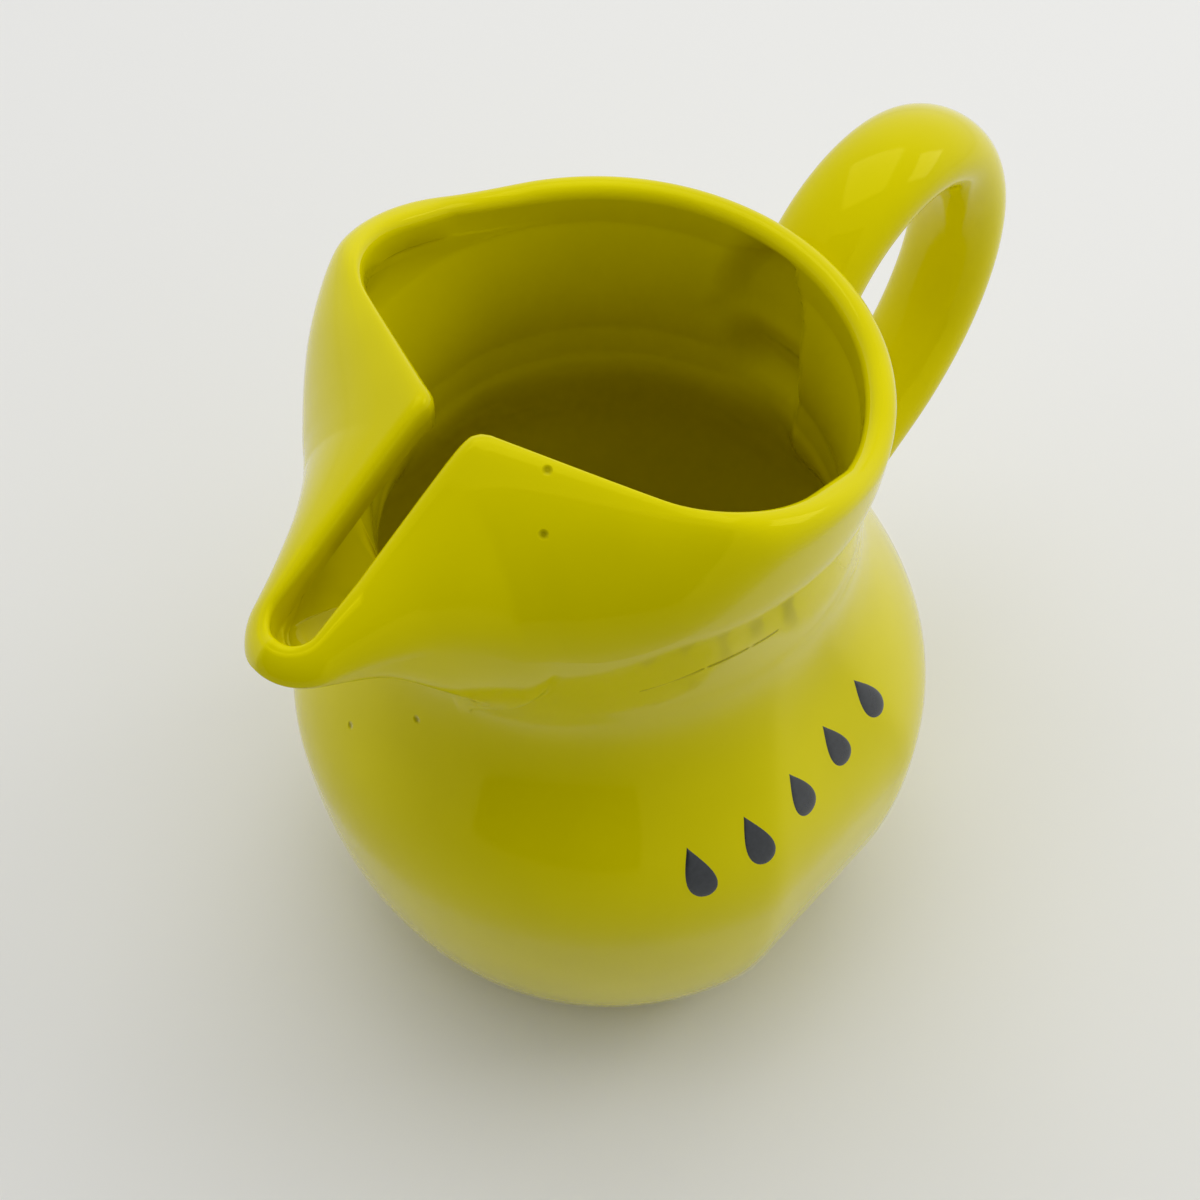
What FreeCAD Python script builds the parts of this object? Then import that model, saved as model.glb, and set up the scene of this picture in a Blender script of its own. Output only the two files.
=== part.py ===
"""Syrup jug: a slip-cast, glazed ceramic jug of one piece, in millimetres.

The origin is the centre of the foot, +Z is up, the handle points along +X, the spout along -X.
The jug is symmetric about the XZ plane: a belly with two flattened sides, a waist, a collar that
draws out into a slotted pouring spout, and a loop handle.
"""
import os
import math
import FreeCAD
import Part
import Sketcher

SIZES = (
    ("foot_radius", 41.5, "radius of the flat foot"),
    ("belly_radius", 67, "largest radius of the belly"),
    ("belly_height", 65, "height of the widest level of the belly"),
    ("panel_half", 63.5, "half width over the two flattened sides"),
    ("panel_corner", 18, "radius between a flattened side and the round front or back"),
    ("neck_radius", 46.8, "radius of the belly's top, inside the collar"),
    ("neck_height", 121, "height of the belly's top, inside the collar"),
    ("wall", 5.4, "thickness of the wall"),
    ("floor_thickness", 6, "thickness of the floor"),
    ("collar_shift", 4, "distance of the collar's axis in front of the foot's"),
    ("collar_base", 107, "height where the collar's shell starts inside the belly"),
    ("collar_neck", 47.2, "radius of the collar at its base"),
    ("neck_nose", 48.4, "distance of the collar's front at its base"),
    ("neck_nose_radius", 24, "radius of the collar's front at its base"),
    ("rim_radius", 52, "radius of the collar at the rim"),
    ("rim_height", 157.6, "height of the level back part of the rim"),
    ("rim_rise", 19.6, "slope of the rim up to the throat, in degrees"),
    ("rim_bend", 40, "radius between the level rim and its slope"),
    ("throat_reach", 37, "distance of the two throat corners in front of the axis"),
    ("throat_height", 176.4, "height of the two throat corners"),
    ("rim_edge", 2.4, "rounding of the rim's outer edge"),
    ("throat_round", 3, "radius of the two throat corners, seen from above"),
    ("throat_trim", 0.6, "how far the lips at the throat are cut in front of the rim's slope"),
    ("throat_angle", 70, "angle of each lip at the throat from the XZ plane, seen from above"),
    ("throat_lean", 56, "slope of the line where the planes of those two lips meet"),
    ("spout_reach", 81.8, "distance of the spout's tip"),
    ("spout_radius", 9.8, "radius of the spout's tip, seen from above"),
    ("spout_flank", 60, "radius of the hollow flanks of the spout"),
    ("spout_height", 151, "height of the spout's longest level"),
    ("ridge_slope", 27.9, "slope of the roof along the spout, in degrees"),
    ("roof_slope", 22.8, "slope of the roof towards the sides, in degrees"),
    ("ridge_round", 6, "rounding of the roof's ridge"),
    ("roof_edge", 13, "rounding where the roof turns down to the sides"),
    ("tip_edge", 4, "the same rounding at the spout's tip"),
    ("handle_width", 22, "width of the handle, along Y"),
    ("handle_thickness", 15, "thickness of the handle"),
    ("handle_top_x", 46, "start of the handle inside the collar's wall"),
    ("handle_top_z", 120.3, "height of that start"),
    ("handle_rise", 49.7, "angle at which the handle leaves the collar, in degrees"),
    ("handle_bend", 27.7, "radius of the handle's top bend"),
    ("handle_side_bend", 46, "radius of the handle's outer bend"),
    ("handle_turn", 55, "downward angle where the two bends meet, in degrees"),
    ("handle_fall", 32.4, "slope of the handle's straight lower end, in degrees"),
    ("handle_end_x", 62, "end of the handle inside the belly's wall"),
    ("handle_end_z", 51.9, "height of that end"),
    ("root_round", 8, "flare of the handle's roots, where they meet the body"),
    ("root_sink", 1.5, "how far inside the belly's widest level the lower root begins"),
    ("dimple_height", 50, "height of the dimple inside the handle's upper root"),
    ("dimple_width", 24, "width of that dimple"),
    ("dimple_depth", 3.5, "depth of that dimple"),
    ("dimple_swell", 17, "how far the dimple's oval reaches along X"),
    ("dimple_level", 128, "height of that dimple's middle"),
)

doc = FreeCAD.newDocument("syrup_jug")
sheet = doc.addObject("Spreadsheet::Sheet", "sizes")
for row, (alias, size, note) in enumerate(SIZES, 1):
    sheet.set(f"A{row}", note)
    sheet.set(f"B{row}", str(size))
    sheet.setAlias(f"B{row}", alias)
doc.recompute()


def add(kind, name, bound=(), **settings):
    """Add one object, with its plain settings and its properties bound to expressions."""
    thing = doc.addObject(kind, name)
    for key, setting in settings.items():
        setattr(thing, key, setting)
    for path, expression in dict(bound).items():
        thing.setExpression(path, expression)
    return thing


def value(expression):
    """The number that an expression of the sheet's sizes gives now."""
    return float(sheet.evalExpression(expression))


def arc(x, y, radius, start, end):
    """Part of a circle in a sketch, anticlockwise between two angles."""
    circle = Part.Circle(FreeCAD.Vector(x, y, 0), FreeCAD.Vector(0, 0, 1), radius)
    return Part.ArcOfCircle(circle, start, end)


def line(x1, y1, x2, y2):
    return Part.LineSegment(FreeCAD.Vector(x1, y1, 0), FreeCAD.Vector(x2, y2, 0))


def constrain(sketch, *rules):
    """Add constraints; a rule that ends in an expression is bound to it."""
    for rule in rules:
        if not isinstance(rule[-1], str):
            sketch.addConstraint(Sketcher.Constraint(*rule))
            continue
        size = value(rule[-1])
        if rule[0] == "Angle":
            size = math.radians(size)
        index = sketch.addConstraint(Sketcher.Constraint(*rule[:-1], size))
        bound = f"({rule[-1]}) * 1 deg" if rule[0] == "Angle" else rule[-1]
        sketch.setExpression(f"Constraints[{index}]", bound)


START, END, CENTRE = 1, 2, 3
AXIS = -1


def belly_section(name, height, radius, half, corner):
    """A level of the belly: a circle with two flat sides and four corner arcs."""
    sketch = add("Sketcher::SketchObject", name, {"Placement.Base.z": height})
    r, b, c = value(radius), value(half), value(corner)
    y = b - c
    x = math.sqrt((r - c) ** 2 - y ** 2)
    turn = math.atan2(y, x)
    sketch.addGeometry([
        arc(0, 0, r, -turn, turn),
        arc(x, y, c, turn, math.pi / 2),
        line(x, b, -x, b),
        arc(-x, y, c, math.pi / 2, math.pi - turn),
        arc(0, 0, r, math.pi - turn, math.pi + turn),
        arc(-x, -y, c, math.pi + turn, 1.5 * math.pi),
        line(-x, -b, x, -b),
        arc(x, -y, c, 1.5 * math.pi, 2 * math.pi - turn),
    ])
    constrain(sketch, *[("Tangent", i, END, (i + 1) % 8, START) for i in range(8)])
    constrain(sketch, *[("Coincident", i, CENTRE, AXIS, START) for i in (0, 4)])
    constrain(sketch, *[("Radius", i, radius) for i in (0, 4)])
    constrain(sketch, *[("Radius", i, corner) for i in (1, 3, 5, 7)])
    constrain(sketch, ("Horizontal", 2), ("Horizontal", 6))
    constrain(sketch, ("DistanceY", AXIS, START, 2, START, half))
    constrain(sketch, ("DistanceY", 6, START, AXIS, START, half))
    return sketch


def spout_section(name, height, shift, radius, reach, nose, flank):
    """A level of the collar: a back arc, a nose arc and two hollow flanks, all tangent."""
    sketch = add("Sketcher::SketchObject", name, {"Placement.Base.z": height})
    s, big, far, small, f = (value(v) for v in (shift, radius, reach, nose, flank))
    gap = far - small - s
    along = (gap ** 2 + (big + f) ** 2 - (small + f) ** 2) / (2 * gap)
    side = math.sqrt((big + f) ** 2 - along ** 2)
    back_turn = math.atan2(side, -along)
    nose_turn = math.atan2(side, gap - along)
    sketch.addGeometry([
        arc(-s, 0, big, -back_turn, back_turn),
        arc(-s - along, side, f, nose_turn - math.pi, back_turn - math.pi),
        arc(-s - gap, 0, small, nose_turn, -nose_turn),
        arc(-s - along, -side, f, math.pi - back_turn, math.pi - nose_turn),
    ])
    constrain(sketch, ("Tangent", 0, END, 1, END), ("Tangent", 1, START, 2, START))
    constrain(sketch, ("Tangent", 2, END, 3, END), ("Tangent", 3, START, 0, START))
    constrain(sketch, ("PointOnObject", 0, CENTRE, AXIS), ("PointOnObject", 2, CENTRE, AXIS))
    constrain(sketch, ("Radius", 0, radius), ("Radius", 2, nose))
    constrain(sketch, ("Radius", 1, flank), ("Radius", 3, flank))
    constrain(sketch, ("DistanceX", 0, CENTRE, AXIS, START, shift))
    constrain(sketch, ("DistanceX", 2, CENTRE, AXIS, START, f"{reach} - ({nose})"))
    return sketch


def loft(name, sections):
    return add("Part::Loft", name, Sections=sections, Solid=True, Ruled=False)


def belly(side, inset, bottom):
    """The belly's envelope: an elliptic bowl below and an S-shaped shoulder above."""
    sections = []
    for i, angle in enumerate((0, 18, 36, 54, 72, 90)):
        height = f"{bottom} + (sizes.belly_height - ({bottom})) * (1 - cos({angle} deg))"
        radius = f"(sizes.foot_radius + (sizes.belly_radius - sizes.foot_radius) * sin({angle} deg))"
        sections.append((f"{side}_bowl_{i}", height, radius, "1"))
    for i, part in enumerate((0.25, 0.5, 0.75, 1)):
        height = f"sizes.belly_height + (sizes.neck_height - sizes.belly_height) * {part}"
        share = f"(0.5 + 0.5 * cos({180 * part} deg))"
        radius = f"(sizes.neck_radius + (sizes.belly_radius - sizes.neck_radius) * {share})"
        sections.append((f"{side}_shoulder_{i}", height, radius, f"(0.2 + 0.8 * {share})"))
    flat = "(1 - sizes.panel_half / sizes.belly_radius)"
    corner = "sizes.panel_corner / sizes.belly_radius"
    return loft(f"{side}_belly", [
        belly_section(name, height, f"{radius} - {inset}", f"{radius} * (1 - {flat} * {fade}) - {inset}",
                      f"{radius} * {corner}")
        for name, height, radius, fade in sections])


def collar(side, inset, base, top):
    """The collar's envelope: lofted up to the spout's level, straight above, under a roof."""
    sections = []
    for i, part in enumerate((0, 0.25, 0.5, 0.7, 0.85, 1)):
        swell = f"{part} ^ 2.5"
        reach = f"{part} ^ 2.6"
        sections.append(spout_section(
            f"{side}_collar_{i}",
            f"{base} + (sizes.spout_height - ({base})) * {part}",
            f"sizes.collar_shift * {part}",
            f"sizes.collar_neck + (sizes.rim_radius - sizes.collar_neck) * {swell} - {inset}",
            f"sizes.neck_nose + (sizes.spout_reach - sizes.neck_nose) * {reach} - {inset}",
            f"sizes.neck_nose_radius + (sizes.spout_radius - sizes.neck_nose_radius) * {part} - {inset}",
            f"sizes.spout_flank + {inset}"))
    lower = loft(f"{side}_collar", sections)
    upper = add("Part::Extrusion", f"{side}_wall", {"LengthFwd": "sizes.throat_height"},
                Base=sections[-1], DirMode="Normal", Solid=True)
    tent = roof(side, top)
    capped = add("Part::Common", f"{side}_capped", Base=upper, Tool=tent)
    return lower, capped


def roof(side, top):
    """The space under the spout's two roof faces, which meet in a rising ridge."""
    sketch = add("Sketcher::SketchObject", f"{side}_roof_outline",
                 {"Placement.Base.z": f"{top} - 3 * sizes.throat_reach * tan(sizes.ridge_slope * 1 deg)",
                  "Placement.Base.x": "-4 * sizes.throat_reach"})
    sketch.Placement.Rotation = FreeCAD.Rotation(FreeCAD.Vector(1, 1, 1), 120)
    half = "2 * sizes.rim_radius"
    w, low, bend = value(half), value(f"3 * {half}"), value("sizes.ridge_round")
    slope = math.radians(value("sizes.roof_slope"))
    drop = w * math.tan(slope)
    crown = bend / math.cos(slope)
    y, z = bend * math.sin(slope), bend * math.cos(slope) - crown
    sketch.addGeometry([
        line(-w, -low, w, -low), line(w, -low, w, -drop), line(w, -drop, y, z),
        arc(0, -crown, bend, math.pi / 2 - slope, math.pi / 2 + slope),
        line(-y, z, -w, -drop), line(-w, -drop, -w, -low)])
    constrain(sketch, *[("Coincident", i, END, j, START) for i, j in ((0, 1), (1, 2), (4, 5), (5, 0))])
    constrain(sketch, ("Tangent", 2, END, 3, START), ("Tangent", 3, END, 4, START))
    constrain(sketch, ("Horizontal", 0), ("Vertical", 1), ("Vertical", 5))
    constrain(sketch, ("PointOnObject", 3, CENTRE, -2), ("Radius", 3, "sizes.ridge_round"),
              ("DistanceY", 3, CENTRE, AXIS, START, "sizes.ridge_round / cos(sizes.roof_slope * 1 deg)"),
              ("DistanceX", AXIS, START, 2, START, half), ("DistanceX", 4, END, AXIS, START, half),
              ("Angle", 2, "180 - sizes.roof_slope"), ("Angle", 4, "180 + sizes.roof_slope"),
              ("DistanceY", 0, END, AXIS, START, f"3 * {half}"))
    return add("Part::Extrusion", f"{side}_roof",
               {"Dir.x": "cos(sizes.ridge_slope * 1 deg)", "Dir.z": "sin(sizes.ridge_slope * 1 deg)",
                "LengthFwd": "8 * sizes.throat_reach"},
               Base=sketch, DirMode="Custom", Dir=FreeCAD.Vector(1, 0, 0), Solid=True)


def side_sketch(name):
    """A sketch in the XZ plane: its x is X and its y is Z."""
    sketch = add("Sketcher::SketchObject", name)
    sketch.Placement.Rotation = FreeCAD.Rotation(FreeCAD.Vector(1, 0, 0), 90)
    return sketch


def handle():
    """An oval swept along a straight run, two tangent bends and a straight run."""
    spine = side_sketch("handle_line")
    x1, z1, x2, z2, r1, r2 = (value(f"sizes.handle_{key}") for key in (
        "top_x", "top_z", "end_x", "end_z", "bend", "side_bend"))
    rise, turn, fall = (math.radians(value(f"sizes.handle_{key}")) for key in ("rise", "turn", "fall"))
    # The bends' chords are known, so the two straight lengths follow from the end points.
    dx = x2 - x1 - r1 * (math.sin(rise) + math.sin(turn)) + r2 * (math.sin(turn) - math.sin(fall))
    dz = z2 - z1 + r1 * (math.cos(rise) - math.cos(turn)) + r2 * (math.cos(turn) + math.cos(fall))
    det = math.sin(fall - rise)
    first = (-dx * math.sin(fall) + dz * math.cos(fall)) / -det
    ax, az = x1 + first * math.cos(rise), z1 + first * math.sin(rise)
    c1x, c1z = ax + r1 * math.sin(rise), az - r1 * math.cos(rise)
    c2x, c2z = c1x - (r2 - r1) * math.sin(turn), c1z - (r2 - r1) * math.cos(turn)
    bx, bz = c2x + r2 * math.sin(fall), c2z - r2 * math.cos(fall)
    spine.addGeometry([
        line(x1, z1, ax, az),
        arc(c1x, c1z, r1, math.pi / 2 - turn, math.pi / 2 + rise),
        arc(c2x, c2z, r2, fall - math.pi / 2, math.pi / 2 - turn),
        line(x2, z2, bx, bz),
    ])
    constrain(spine, ("Tangent", 0, END, 1, END), ("Tangent", 1, START, 2, END),
              ("Tangent", 2, START, 3, END))
    constrain(spine, ("Radius", 1, "sizes.handle_bend"), ("Radius", 2, "sizes.handle_side_bend"))
    for end, key in ((0, "top"), (3, "end")):
        constrain(spine, ("DistanceX", AXIS, START, end, START, f"sizes.handle_{key}_x"),
                  ("DistanceY", AXIS, START, end, START, f"sizes.handle_{key}_z"))
    constrain(spine, ("Angle", 0, "sizes.handle_rise"), ("Angle", 3, "sizes.handle_fall"))
    constrain(spine, ("DistanceY", 2, CENTRE, 1, CENTRE,
                      "(sizes.handle_side_bend - sizes.handle_bend) * cos(sizes.handle_turn * 1 deg)"))
    oval = add("Part::Ellipse", "handle_oval",
               {"MajorRadius": "sizes.handle_width / 2", "MinorRadius": "sizes.handle_thickness / 2",
                "Placement.Base.x": "sizes.handle_top_x", "Placement.Base.z": "sizes.handle_top_z"})
    tilt = FreeCAD.Rotation(FreeCAD.Vector(0, 1, 0), 90 - value("sizes.handle_rise"))
    oval.Placement.Rotation = tilt * FreeCAD.Rotation(FreeCAD.Vector(0, 0, 1), 90)
    return add("Part::Sweep", "handle", Sections=[oval], Solid=True,
               Spine=(spine, ["Edge1", "Edge2", "Edge3", "Edge4"]))


def root(name, wall_x, x, z, slope):
    """The flare where the handle's straight run meets the wall: upright ovals that shrink to the run's."""
    sections = []
    for i, part in enumerate((0, 0.3, 0.6, 1)):
        flare = f"sizes.root_round * (0.96 - sqrt(1 - (1 - {part}) ^ 2))"
        at = f"{wall_x} - sizes.wall / 2 + sizes.root_round * {part}"
        tall = f"sizes.handle_thickness / 2 / cos({slope} * 1 deg) + {flare}"
        wide = f"sizes.handle_width / 2 + {flare}"
        upright = value(tall) > value(wide)
        oval = add("Part::Ellipse", f"{name}_{i}", {
            "MajorRadius": tall if upright else wide, "MinorRadius": wide if upright else tall,
            "Placement.Base.x": at, "Placement.Base.z": f"{z} + ({at} - {x}) * tan({slope} * 1 deg)"})
        across = FreeCAD.Rotation(FreeCAD.Vector(0, 1, 0), 90)
        oval.Placement.Rotation = across * FreeCAD.Rotation(FreeCAD.Vector(0, 0, 1), 0 if upright else 90)
        sections.append(oval)
    return loft(name, sections)


def mouth():
    """The space above the rim: level at the back, rising to the throat corners in front."""
    sketch = side_sketch("rim_line")
    x, z, level, bend = (value(f"sizes.{key}") for key in (
        "throat_reach", "throat_height", "rim_height", "rim_bend"))
    rise = math.radians(value("sizes.rim_rise"))
    far = value("2 * sizes.rim_radius")
    centre = (z - level) / math.tan(rise) - x + bend * math.tan(rise / 2)
    sketch.addGeometry([
        line(centre - bend * math.sin(rise), level + bend * (1 - math.cos(rise)), -x, z),
        arc(centre, level + bend, bend, 1.5 * math.pi - rise, 1.5 * math.pi),
        line(centre, level, far, level),
        line(far, level, far, level + far),
        line(far, level + far, -x, level + far),
        line(-x, level + far, -x, z),
    ])
    constrain(sketch, ("Tangent", 0, START, 1, START), ("Tangent", 1, END, 2, START))
    constrain(sketch, *[("Coincident", i, END, i + 1, START) for i in (2, 3, 4)])
    constrain(sketch, ("Coincident", 5, END, 0, END))
    constrain(sketch, ("Horizontal", 2), ("Vertical", 3), ("Horizontal", 4), ("Vertical", 5))
    constrain(sketch, ("Radius", 1, "sizes.rim_bend"),
              ("DistanceX", 0, END, AXIS, START, "sizes.throat_reach"),
              ("DistanceY", AXIS, START, 0, END, "sizes.throat_height"),
              ("DistanceY", AXIS, START, 2, START, "sizes.rim_height"),
              ("DistanceX", AXIS, START, 2, END, "2 * sizes.rim_radius"),
              ("DistanceY", 3, START, 3, END, "2 * sizes.rim_radius"))
    constrain(sketch, ("Angle", 0, "180 - sizes.rim_rise"))
    return add("Part::Extrusion", "mouth", {"LengthFwd": "4 * sizes.rim_radius"},
               Base=sketch, DirMode="Normal", Symmetric=True, Solid=True)


def slot():
    """The slot between the two roof faces, as wide as the spout is inside."""
    sketch = add("Sketcher::SketchObject", "slot_outline", {"Placement.Base.z": "sizes.spout_height"})
    r = value("sizes.spout_radius - sizes.wall")
    x, x_open = value("sizes.spout_reach - sizes.spout_radius"), 0
    sketch.addGeometry([arc(-x, 0, r, math.pi / 2, 1.5 * math.pi), line(-x, -r, x_open, -r),
                        line(x_open, -r, x_open, r), line(x_open, r, -x, r)])
    constrain(sketch, ("Tangent", 0, END, 1, START), ("Tangent", 0, START, 3, END))
    constrain(sketch, ("Coincident", 1, END, 2, START), ("Coincident", 2, END, 3, START))
    constrain(sketch, ("Horizontal", 1), ("PointOnObject", 0, CENTRE, AXIS), ("Vertical", 2),
              ("PointOnObject", 1, END, -2),
              ("Radius", 0, "sizes.spout_radius - sizes.wall"),
              ("DistanceX", 0, CENTRE, AXIS, START, "sizes.spout_reach - sizes.spout_radius"))
    return add("Part::Extrusion", "slot", {"LengthFwd": "sizes.throat_height"},
               Base=sketch, DirMode="Normal", Solid=True)


def wedge():
    """The space behind the two lips that run from the shoulders to the throat corners."""
    sketch = add("Sketcher::SketchObject", "throat_outline", {
        "Placement.Base.z": "sizes.throat_height",
        "Placement.Base.x": "-sizes.throat_reach - sizes.throat_trim - (sizes.spout_radius - sizes.wall / 2)"
                            " / tan(sizes.throat_angle * 1 deg)"})
    deep = "2 * sizes.rim_radius"
    x, angle = value(deep), math.radians(value("sizes.throat_angle"))
    y = x * math.tan(angle)
    sketch.addGeometry([line(0, 0, x, -y), line(x, -y, x, y), line(x, y, 0, 0)])
    constrain(sketch, *[("Coincident", i, END, (i + 1) % 3, START) for i in range(3)])
    constrain(sketch, ("Coincident", 0, START, AXIS, START), ("Vertical", 1),
              ("DistanceX", AXIS, START, 0, END, deep),
              ("Angle", 0, "-sizes.throat_angle"), ("Angle", 2, "180 + sizes.throat_angle"))
    return add("Part::Extrusion", "throat_wedge",
               {"Dir.x": "-cos(sizes.throat_lean * 1 deg)", "Dir.z": "sin(sizes.throat_lean * 1 deg)",
                "LengthFwd": "sizes.throat_reach", "LengthRev": "sizes.throat_reach"},
               Base=sketch, DirMode="Custom", Dir=FreeCAD.Vector(0, 0, 1), Solid=True)


def round_edges(name, base, radius, chosen):
    """Round the chosen edges of a shape."""
    picks = [i for i, edge in enumerate(base.Shape.Edges, 1) if chosen(edge)]
    print(name, len(picks))
    return add("Part::Fillet", name, Base=base, Edges=[(i, radius, radius) for i in picks])


def shape_eaves(block):
    """Round a block where its roof turns down to the wall, tighter at the spout's tip."""
    reach, tip = value("sizes.throat_reach"), value("sizes.spout_reach - sizes.spout_radius")
    edges = []
    for number, edge in enumerate(block.Shape.Edges, 1):
        ends = [v.Point for v in edge.Vertexes]
        if (edge.Curve.TypeId == "Part::GeomLine" or any(p.z < value("sizes.spout_height") + 1 for p in ends)
                or any(p.x > -reach / 3 for p in ends) or all(abs(p.x + reach) < 1 for p in ends)):
            continue
        edges.append((number, *(value("sizes.tip_edge" if p.x < -tip else "sizes.roof_edge") for p in ends)))
    return add("Part::Fillet", "outer_eaves", Base=block, Edges=edges)


def along(edge):
    """Five points spread along an edge."""
    step = (edge.LastParameter - edge.FirstParameter) / 4
    return [edge.valueAt(edge.FirstParameter + step * i) for i in range(5)]


def rim_level(x):
    """Height of the rim above x, as the rim's line gives it."""
    rise, bend = math.radians(value("sizes.rim_rise")), value("sizes.rim_bend")
    level, reach, top = (value(f"sizes.{key}") for key in ("rim_height", "throat_reach", "throat_height"))
    back = (top - level) / math.tan(rise) - reach + bend * math.tan(rise / 2) - x
    if back > bend * math.sin(rise):
        return top - (x + reach) * math.tan(rise)
    return level + bend - math.sqrt(bend ** 2 - max(back, 0) ** 2)


def round_rim(block):
    """Round the outer edge of the rim and of the two front lips."""
    edges = []
    for number, edge in enumerate(block.Shape.Edges, 1):
        points = along(edge)
        crosses = abs(points[0].x - points[-1].x) < 0.01 and edge.Curve.TypeId == "Part::GeomLine"
        if all(abs(p.z - rim_level(p.x)) < 0.1 for p in points) and not crosses:
            edges.append((number, value("sizes.rim_edge"), value("sizes.rim_edge")))
    return add("Part::Fillet", "outer_rounded", Base=block, Edges=edges)


def at_throat(edge):
    """Whether an edge is one of the two throat corners, which cross the lip's thickness."""
    half, z = value("sizes.spout_radius - sizes.wall"), value("sizes.throat_height - 2 * sizes.wall")
    ends = [v.Point for v in edge.Vertexes]
    return (len(ends) == 2 and all(abs(abs(p.y) - half) < 0.1 and p.z > z for p in ends)
            and 3 < edge.Length < 2 * value("sizes.wall")
            and all(abs(p.x + value("sizes.throat_reach")) < value("sizes.wall") for p in ends))


RIDGE = "sizes.throat_height + (sizes.spout_radius - sizes.wall / 2) * tan(sizes.roof_slope * 1 deg)"
outer_collar, outer_top = collar("outer", "0", "sizes.collar_base", RIDGE)
inner_collar, inner_top = collar("inner", "sizes.wall", "sizes.collar_base + sizes.wall",
                                 f"{RIDGE} - sizes.wall / cos(sizes.roof_slope * 1 deg)"
                                 " / cos(sizes.ridge_slope * 1 deg)")
opening = mouth()
trimmed = add("Part::Cut", "outer_trimmed", Base=outer_top, Tool=opening)
doc.recompute()
eaves = shape_eaves(trimmed)
doc.recompute()
body = add("Part::MultiFuse", "solid_jug",
           Shapes=[belly("outer", "0", "0"), outer_collar, round_rim(eaves), handle(),
                   root("upper_root", "sizes.collar_neck", "sizes.handle_top_x", "sizes.handle_top_z",
                        "sizes.handle_rise"),
                   root("lower_root", "sizes.belly_radius - sizes.root_sink", "sizes.handle_end_x", "sizes.handle_end_z",
                        "sizes.handle_fall")])
bore = add("Part::Cylinder", "bore",
           {"Radius": "sizes.rim_radius - sizes.wall", "Height": "sizes.throat_height",
            "Placement.Base.x": "-sizes.collar_shift", "Placement.Base.z": "sizes.spout_height"})
throat = add("Part::Common", "throat", Base=bore, Tool=wedge())
dimple = add("Part::Ellipsoid", "dimple",
             {"Radius1": "sizes.dimple_height / 2", "Radius2": "sizes.dimple_swell",
              "Radius3": "sizes.dimple_width / 2", "Placement.Base.z": "sizes.dimple_level",
              "Placement.Base.x": "sizes.rim_radius - sizes.collar_shift - sizes.wall"
                                  " + sizes.dimple_depth - sizes.dimple_swell"})
hollow = add("Part::MultiFuse", "hollow",
             Shapes=[belly("inner", "sizes.wall", "sizes.floor_thickness"), inner_collar, inner_top,
                     opening, slot(), throat, dimple])
shell = add("Part::Cut", "shell", Base=body, Tool=hollow, Refine=True)
doc.recompute()
corners = [(number, value("sizes.throat_round"), value("sizes.throat_round"))
           for number, edge in enumerate(shell.Shape.Edges, 1) if at_throat(edge)]
jug = add("Part::Fillet", "jug", Base=shell, Edges=corners)
jug.Label = "jug"
doc.recompute()

failed = [thing.Name for thing in doc.Objects if {"Invalid", "Error"} & set(thing.State)]
if failed or jug.Shape.isNull() or not jug.Shape.isValid() or len(jug.Shape.Solids) != 1:
    raise SystemExit(f"the jug did not build: {failed}")
os.makedirs("parts", exist_ok=True)
jug.Shape.exportStep(f"parts/{jug.Label}.step")
print(f"{jug.Label}: {jug.Shape.Volume / 1000:.1f} ml of ceramic, box {jug.Shape.BoundBox}")
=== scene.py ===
"""The looks of the syrup jug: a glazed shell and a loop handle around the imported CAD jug.

Every surface is worked out in millimetres, in the jug's own frame: the foot's centre is the
origin, +X points to the handle, -X to the spout and +Z up. The jug mirrors across the XZ plane,
apart from the hollow behind the handle, the row of marks and the glaze's flaws.
"""

import bpy
import numpy as np
from mathutils import Matrix


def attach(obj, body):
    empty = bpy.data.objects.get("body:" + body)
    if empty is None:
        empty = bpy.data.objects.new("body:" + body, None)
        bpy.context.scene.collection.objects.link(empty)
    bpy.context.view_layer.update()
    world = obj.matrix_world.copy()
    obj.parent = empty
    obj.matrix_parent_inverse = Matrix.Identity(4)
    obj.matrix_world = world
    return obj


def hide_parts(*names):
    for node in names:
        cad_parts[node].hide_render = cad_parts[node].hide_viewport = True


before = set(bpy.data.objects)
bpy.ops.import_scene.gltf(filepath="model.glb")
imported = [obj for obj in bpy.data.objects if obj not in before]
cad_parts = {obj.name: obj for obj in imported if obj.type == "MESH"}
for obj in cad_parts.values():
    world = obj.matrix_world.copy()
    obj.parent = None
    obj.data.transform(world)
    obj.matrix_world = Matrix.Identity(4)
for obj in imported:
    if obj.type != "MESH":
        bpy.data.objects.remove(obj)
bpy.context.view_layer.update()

MM = 0.001
FOOT_RADIUS, BELLY_RADIUS, BELLY_HEIGHT = 41.5, 67.0, 65.0
PANEL_HALF, PANEL_CORNER = 63.5, 18.0
NECK_RADIUS, NECK_HEIGHT = 46.8, 121.0
WALL, FLOOR = 5.4, 6.0
COLLAR_BASE, COLLAR_SHIFT, COLLAR_NECK = 107.0, 4.0, 47.2
NECK_NOSE, NECK_NOSE_RADIUS = 48.4, 24.0
RIM_RADIUS, RIM_HEIGHT, RIM_RISE, RIM_BEND = 52.0, 157.6, 19.6, 40.0
THROAT_REACH, THROAT_HEIGHT = 37.0, 176.4
SPOUT_REACH, SPOUT_RADIUS, SPOUT_FLANK, SPOUT_HEIGHT = 81.8, 9.8, 60.0, 151.0
RIDGE_SLOPE, ROOF_SLOPE = 27.9, 22.8
BORE_TURN = 76.0  # angle from the back at which the opening leaves the bore's circle
LIP_TURN, LIP_OUT = 108.0, 2.0  # angle of the lip's wide corner, and how far out of the bore it lies
LIP_ROUND, THROAT_ROUND = 22.0, 3.0  # plan radii of the lip's wide corner and of the throat corner
THROAT_BACK = 1.6  # how far the opening's corner lies behind the throat's reach
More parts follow.
